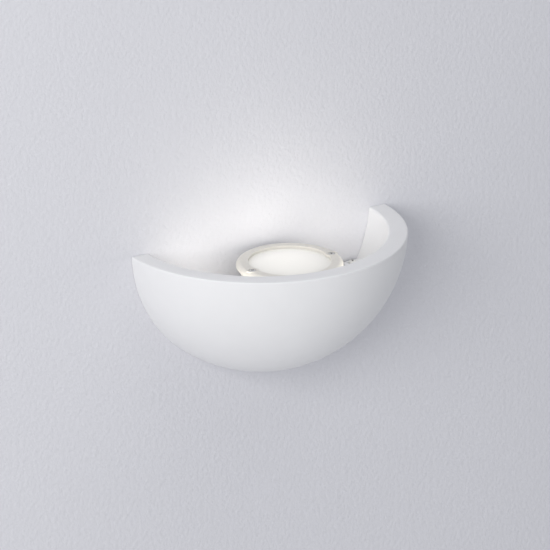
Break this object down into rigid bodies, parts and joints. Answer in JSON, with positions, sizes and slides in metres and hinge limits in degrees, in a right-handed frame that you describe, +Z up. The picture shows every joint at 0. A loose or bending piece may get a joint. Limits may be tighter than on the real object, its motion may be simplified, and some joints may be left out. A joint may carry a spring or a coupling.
{
  "type": "uplighter wall sconce",
  "caption": "Half-bowl plaster wall light, open at the top, with a finned lamp under domed opal glass and a screwed clamp ring on a folded wall bracket.",
  "frame": {"origin": "on the wall plane, half-way between the two wall-screw slots of the bracket", "axes": "+X along the wall and the rim, to the right of a person who faces the wall; +Y into the wall; +Z up"},
  "size_m": [0.2998, 0.1499, 0.143],
  "materials": {
    "plaster": "matte",
    "bracket_paint": "satin",
    "housing_paint": "satin",
    "ring_paint": "satin",
    "opal_glass": "satin",
    "zinc_steel": "satin",
    "rubber": "matte",
    "silicone": "matte",
    "thermal_grey": "matte",
    "board_white": "satin",
    "chip_yellow": "gloss",
    "connector_white": "satin",
    "reflector_white": "satin",
    "driver_white": "matte",
    "circuit_green": "satin",
    "transformer_yellow": "satin",
    "capacitor_black": "satin",
    "terminal_white": "satin",
    "brass": "satin",
    "tin": "satin",
    "lead_brown": "satin",
    "lead_blue": "satin",
    "lead_green": "satin",
    "lead_white": "satin"
  },
  "bodies": {
    "root": {"plaster_bowl": "plaster", "wall_bracket": "bracket_paint", "entry_grommet": "rubber", "lug_pads": "rubber", "bowl_washers": "zinc_steel", "bowl_screws": "zinc_steel", "lamp_housing": "housing_paint", "housing_screws": "zinc_steel", "lead_grommet": "rubber", "thermal_pad": "thermal_grey", "led_board": "board_white", "led_chips": "chip_yellow", "board_connector": "connector_white", "reflector": "reflector_white", "board_screws": "zinc_steel", "lens_gasket": "silicone", "diffuser_glass": "opal_glass", "clamp_ring": "ring_paint", "ring_screws": "zinc_steel", "driver_base": "driver_white", "driver_cover": "driver_white", "driver_board": "circuit_green", "driver_transformer": "transformer_yellow", "driver_capacitors": "capacitor_black", "driver_screws": "zinc_steel", "terminal_body": "terminal_white", "terminal_clamps": "brass", "terminal_screws": "zinc_steel", "terminal_fixing_screw": "zinc_steel", "earth_tag": "tin", "earth_screw": "zinc_steel", "live_lead": "lead_brown", "neutral_lead": "lead_blue", "lamp_lead": "lead_white", "earth_lead": "lead_green"}
  },
  "joints": []
}
